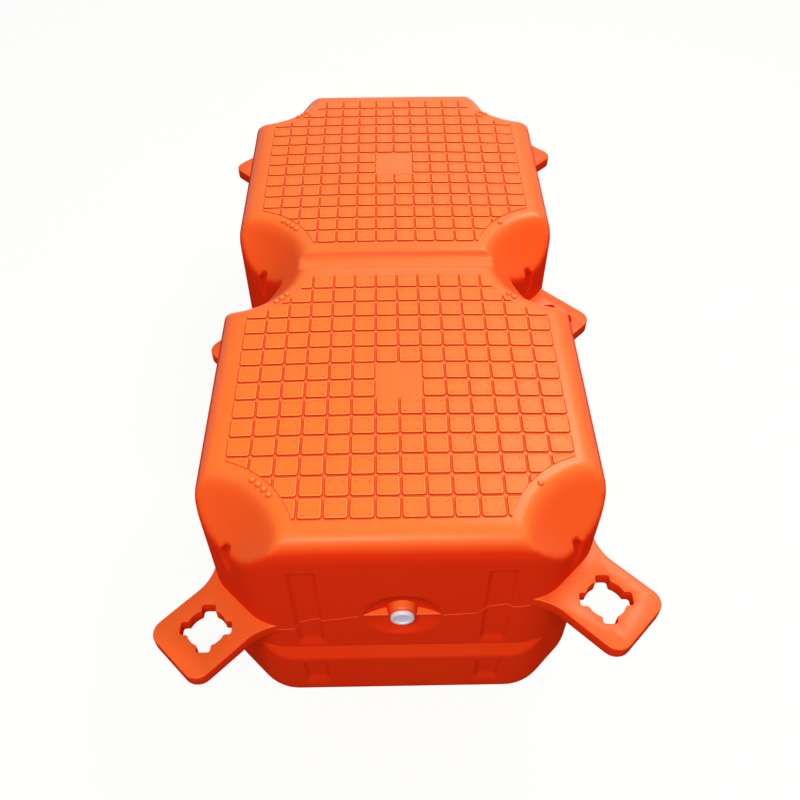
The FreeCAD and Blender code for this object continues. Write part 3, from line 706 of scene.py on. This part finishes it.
def eye_tool():
    """The lobed eye: a circle with a square lobe on each quarter, every step eased."""
    meet = atan2(lobe_half, sqrt(eye_radius ** 2 - lobe_half ** 2))
    quarter = [(eye_reach, -lobe_half, lobe_ease), (eye_reach, lobe_half, lobe_ease)]
    for i in range(eye_chords + 1):
        turn = meet + (pi / 2 - 2 * meet) * i / eye_chords
        ease = waist_ease if i in (0, eye_chords) else 0
        quarter.append((eye_radius * cos(turn), eye_radius * sin(turn), ease))
    corners = []
    for across, along in ((1, 0), (0, 1), (-1, 0), (0, -1)):
        corners += [(x * across - y * along, x * along + y * across, ease)
                    for x, y, ease in quarter]
    tool = drawn("eye", [(x, y, -over_lug) for x, y in rounded_path(corners)])
    bpy.ops.mesh.edge_face_add()
    extrude(0, 0, lug_thick + 2 * over_lug)
    bpy.ops.mesh.select_all(action="SELECT")
    bpy.ops.mesh.normals_make_consistent(inside=False)
    bpy.ops.object.mode_set(mode="OBJECT")
    return tool


def on_side(points):
    """Whether an edge stands on the side of a lug."""
    return abs(points[0].z - points[1].z) > lug_thick / 2


def on_rim(points, height):
    """Whether an edge lies on the top or the underside of a lug."""
    return all(abs(p.z - height) < hair for p in points)


def corner_lug(name):
    """Lies along -X from a pin at the origin; its roots run out into the two faces."""
    start = lug_half + lug_sink * sqrt(2)
    root = start + lug_root
    lug = block(name, (-lug_end, -lug_half, 0), (root + lug_root, lug_half, lug_thick))
    for across in (start, root):
        pick(lug, "FACE", lambda points: True)
        bpy.ops.mesh.bisect(plane_co=(across, 0, 0), plane_no=(1, 0, 0))
    pick(lug, "EDGE", lambda points: all(abs(p.x - root) < hair for p in points))
    bpy.ops.transform.resize(value=(1, (lug_half + lug_root) / lug_half, 1),
                             center_override=(0, 0, 0))
    pick(lug, "EDGE", lambda points: on_side(points) and abs(points[0].x - start) < hair)
    bpy.ops.mesh.bevel(offset=(lug_flare - lug_rim) * tan(pi / 8), segments=8, affect="EDGES")
    pick(lug, "EDGE", lambda points: on_side(points) and points[0].x < hair - lug_end)
    bpy.ops.mesh.bevel(offset=lug_corner, segments=7, affect="EDGES")
    return lug


def middle_lug(name):
    """A square plate with one corner outwards, its other three inside the float."""
    side = middle_lug_half
    inner = side + middle_lug_root
    lug = block(name, (-side, -side, 0), (inner, inner, lug_thick))
    pick(lug, "EDGE", lambda points: on_side(points) and points[0].x < 0 and points[0].y < 0)
    bpy.ops.mesh.bevel(offset=middle_lug_corner, segments=8, affect="EDGES")
    return placed(lug, 0, 0, -pi / 4)


def finished_lug(lug, across, along, low, turn):
    """Eases the rims, cuts the eye and moves the lug to its pin. The eye's lobes point
    across and along the float, however the lug is turned."""
    pick(lug, "EDGE", lambda points: True)
    bpy.ops.mesh.dissolve_limited(angle_limit=radians(1))
    pick(lug, "EDGE", lambda points: on_rim(points, lug_thick) or on_rim(points, 0))
    bpy.ops.mesh.bevel(offset=lug_rim, segments=3, affect="EDGES")
    cut(lug, [placed(eye_tool(), 0, 0, -turn)])
    for height in (lug_thick, 0):
        pick(lug, "EDGE", lambda points: on_rim(points, height)
             and all(p.xy.length < eye_reach + waist_ease for p in points))
        bpy.ops.mesh.bevel(offset=eye_rim, segments=2, affect="EDGES")
    bpy.ops.object.mode_set(mode="OBJECT")
    alone(lug)
    lug.rotation_euler.z = turn
    lug.location = (across, along, low)
    bpy.ops.object.transform_apply(location=True, rotation=True)
    bpy.ops.object.shade_smooth_by_angle(angle=radians(35))
    dressed(lug, lug_orange)


for (side, row), level in levels.items():
    lug_name = row_names[row] + "_" + side_names[side] + "_lug"
    lug = corner_lug(lug_name) if row else middle_lug(lug_name)
    finished_lug(lug, side * half, row * cube_width, lug_low + level * lug_step,
                 atan2(row, side) + pi)

# The flash
# Where the two halves of the mould meet, a thin thread of plastic is left all round the
# float. It runs from lug to lug, and on the vented end it climbs to the webs and past them.
flash_radius = 0.0006
flash_standoff = 1.04
flash_drop = 0.06
lug_heights = {key: lug_low + level * lug_step + lug_thick / 2 for key, level in levels.items()}
front_left, front_right = lug_heights[-1, -1], lug_heights[1, -1]
middle_left, middle_right = lug_heights[-1, 0], lug_heights[1, 0]
rear_left, rear_right = lug_heights[-1, 1], lug_heights[1, 1]
flash_runs = {
    "flash_front_left": ("y", -1, [(-0.165, front_left), (-0.137, 0.209), (-0.130, 0.220),
                                   (-0.100, 0.230), (-0.055, vent_height)]),
    "flash_front_right": ("y", -1, [(0.052, vent_height), (0.095, 0.245), (0.100, 0.252),
                                    (0.130, 0.258), (0.165, 0.262)]),
    "flash_rear": ("y", 1, [(-0.165, rear_left), (-0.08, 0.232), (0.08, 0.240),
                            (0.165, rear_right)]),
    "flash_left_front": ("x", -1, [(-0.410, front_left), (-0.250, front_left),
                                   (-0.090, middle_left)]),
    "flash_left_rear": ("x", -1, [(0.090, middle_left), (0.250, 0.216), (0.410, rear_left)]),
    "flash_right_front": ("x", 1, [(-0.410, front_right), (-0.250, front_right),
                                   (-0.090, middle_right)]),
    "flash_right_rear": ("x", 1, [(0.090, middle_right), (0.250, 0.256), (0.410, rear_right)]),
}


def flash(name, face_axis, side, spots):
    """A thread drawn in front of a face, laid on it, and given its thickness as a curve."""
    out = side * (cube_width if face_axis == "y" else half) * flash_standoff
    thread = drawn(name, [(across, out, up) if face_axis == "y" else (out, across, up)
                          for across, up in spots])
    bpy.ops.mesh.subdivide(number_cuts=20)
    bpy.ops.object.mode_set(mode="OBJECT")
    finish_with(thread, "SHRINKWRAP", target=shell, wrap_method="PROJECT",
                use_project_x=face_axis == "x", use_project_y=face_axis == "y",
                use_negative_direction=True, use_positive_direction=True,
                project_limit=flash_drop)
    alone(thread)
    bpy.ops.object.convert(target="CURVE")
    thread = bpy.context.object
    thread.data.bevel_depth = flash_radius
    thread.data.bevel_resolution = 1
    thread.data.use_fill_caps = True
    bpy.ops.object.convert(target="MESH")
    bpy.ops.object.shade_smooth()
    dressed(thread, lug_orange)


for name, (face_axis, side, spots) in flash_runs.items():
    flash(name, face_axis, side, spots)

# The vent
# In the dish on the end face stands a short collar with the vent's hole, stiffened by a
# thin web on each side. Collar and webs are moulded with the float.
end_face = -cube_width
collar_radius = 0.037 / 2
collar_bore = 0.010
collar_seat = -0.002
collar_root = -0.018
seat_radius = 0.0132
web_reach = 0.054
web_half = 0.002
web_depth = 0.0125
web_lift = 0.0004
web_round = 0.0009


def turned(name, profile):
    """A profile of (radius, height) points, spun about the vent's axis."""
    piece = drawn(name, [(radius, 0, height) for radius, height in profile])
    bpy.ops.mesh.spin(steps=64, angle=2 * pi, center=(0, 0, 0), axis=(0, 0, 1))
    bpy.ops.mesh.select_all(action="SELECT")
    bpy.ops.mesh.remove_doubles(threshold=hair)
    bpy.ops.mesh.normals_make_consistent(inside=False)
    bpy.ops.object.mode_set(mode="OBJECT")
    piece.rotation_euler.x = pi / 2
    piece.location = (0, end_face, vent_height)
    bpy.ops.object.transform_apply(location=True, rotation=True)
    bpy.ops.object.shade_smooth_by_angle(angle=radians(40))
    return piece


collar = turned("vent_collar", [
    (collar_bore, collar_root), (collar_radius + 0.003, collar_root),
    (collar_radius + 0.001, -0.010), (collar_radius, -0.004),
    (collar_radius - 0.0006, -0.0010), (collar_radius - 0.0022, 0.0005),
    (seat_radius + 0.0003, 0.0005), (seat_radius, collar_seat),
    (collar_bore, collar_seat), (collar_bore, collar_root)])
dressed(collar, orange)

webs = block("vent_webs", (-web_reach, end_face + web_lift, vent_height - web_half),
             (web_reach, end_face + web_depth, vent_height + web_half))
finish_with(webs, "BEVEL", width=web_round, segments=3)
alone(webs)
bpy.ops.object.shade_smooth_by_angle(angle=radians(40))
dressed(webs, orange)

# The vent plug
# A plug of pale polyethylene, moulded by itself, screws into the collar. Its head has a
# low ring round a sunk middle, and its shank goes through the collar into the float.
plug_radius = 0.030 / 2
plug_seat = 0.0006
ring_outside = 0.0116
ring_height = 0.0055
well_radius = 0.009
well_height = 0.0036
shank_radius = 0.0098
shank_end = -0.0155
pale = moulded_plastic("pale_polyethylene", lit=(0.80, 0.79, 0.84, 1),
                       deep=(0.62, 0.61, 0.68, 1), glint=(1, 1, 1, 1), shine=0.5,
                       roughness=0.35)
plug = turned("vent_plug_head", [
    (0.0, well_height), (well_radius, well_height), (0.0098, 0.0038), (0.0104, 0.0046),
    (0.0108, 0.0053), (ring_outside, ring_height), (plug_radius - 0.0012, 0.0053),
    (plug_radius - 0.0003, 0.0044), (plug_radius, 0.0034), (plug_radius, plug_seat),
    (plug_radius - 0.0005, plug_seat), (shank_radius, 0.0005), (shank_radius, shank_end),
    (0.0, shank_end)])
dressed(plug, pale)
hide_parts("vent_plug")

# The seal
# A ring of black rubber lies between the plug's head and the collar, which hide it. It is
# the ring of the solid model, dressed as it is.
rubber = moulded_plastic("seal_rubber", lit=(0.03, 0.03, 0.03, 1),
                         deep=(0.02, 0.02, 0.02, 1), glint=(1, 1, 1, 1), shine=0.3,
                         roughness=0.7)
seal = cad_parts["plug_seal"]
seal.data.materials.clear()
seal.data.materials.append(rubber)

# The stage
# The float stands on plain white paper, as in the photograph, under a dim white sky. Two
# soft boxes light it, and two strips put the long highlights on the edges of its deck.
sky_strength = 0.38
floor_glow = 0.93
settle()
bpy.ops.mesh.primitive_plane_add(size=30, location=(0, 0, 0))
floor = bpy.context.object
floor.name = "floor"


def white_floor():
    """Paper that the camera sees as nearly white, with a soft shadow, but that throws
    only a moderate light back at the float."""
    material = bpy.data.materials.new("floor_paper")
    material.use_nodes = True
    nodes, links = material.node_tree.nodes, material.node_tree.links
    nodes.clear()
    out = nodes.new("ShaderNodeOutputMaterial")
    path = nodes.new("ShaderNodeLightPath")

    def paper(colour):
        """Matt paper of this colour."""
        sheet = nodes.new("ShaderNodeBsdfDiffuse")
        sheet.inputs["Color"].default_value = colour
        return sheet.outputs["BSDF"]

    def either(one, other):
        """One where at least one of the two is one."""
        larger = nodes.new("ShaderNodeMath")
        larger.operation = "MAXIMUM"
        links.new(one, larger.inputs[0])
        links.new(other, larger.inputs[1])
        return larger.outputs["Value"]

    glow = nodes.new("ShaderNodeEmission")
    glow.inputs["Color"].default_value = (1.0, 1.0, 0.985, 1)
    glow.inputs["Strength"].default_value = 1.0
    seen = nodes.new("ShaderNodeMixShader")
    seen.inputs["Fac"].default_value = floor_glow
    links.new(paper((0.90, 0.90, 0.885, 1)), seen.inputs[1])
    links.new(glow.outputs["Emission"], seen.inputs[2])
    straight = either(path.outputs["Is Camera Ray"], path.outputs["Is Transmission Ray"])
    mix = nodes.new("ShaderNodeMixShader")
    links.new(either(straight, path.outputs["Is Glossy Ray"]), mix.inputs["Fac"])
    links.new(paper((0.32, 0.32, 0.31, 1)), mix.inputs[1])
    links.new(seen.outputs["Shader"], mix.inputs[2])
    links.new(mix.outputs["Shader"], out.inputs["Surface"])
    return material


floor.data.materials.append(white_floor())

world = bpy.data.worlds.new("studio")
bpy.context.scene.world = world
world.use_nodes = True
world.node_tree.nodes["Background"].inputs["Color"].default_value = (1, 1, 1, 1)
world.node_tree.nodes["Background"].inputs["Strength"].default_value = sky_strength


def softbox(name, place, aim, width, depth, power):
    """A rectangular lamp that looks from its place at its aim."""
    settle()
    bpy.ops.object.light_add(type="AREA", location=place)
    lamp = bpy.context.object
    lamp.name = name
    lamp.data.shape = "RECTANGLE"
    lamp.data.size = width
    lamp.data.size_y = depth
    lamp.data.energy = power
    way = Vector(aim) - Vector(place)
    lamp.rotation_euler = way.to_track_quat("-Z", "Y").to_euler()


softbox("rear_softbox", place=(0.85, 0.75, 2.2), aim=(0, 0, 0.3), width=0.8, depth=0.6,
        power=32)
softbox("front_softbox", place=(-0.3, -2.6, 1.6), aim=(0, -0.3, 0.2), width=1.2, depth=0.6,
        power=4)
softbox("high_strip", place=(-0.2, -1.5, 2.2), aim=(0, -0.4, 0.3), width=1.1, depth=0.10,
        power=32)
softbox("rear_strip", place=(0.2, 2.8, 1.95), aim=(0, 0.2, 0.4), width=1.6, depth=0.4,
        power=9)

camera_place = (-0.01054, -0.98838, 1.20669)
camera_turn = (radians(41.2803), radians(0.0615), radians(-1.0027))
camera_sensor = 36
camera_lens = 37.63
bpy.ops.object.camera_add(location=camera_place, rotation=camera_turn)
camera = bpy.context.object
camera.data.sensor_width = camera_sensor
camera.data.lens = camera_lens
bpy.context.scene.camera = camera
bpy.context.scene.view_settings.view_transform = "Standard"
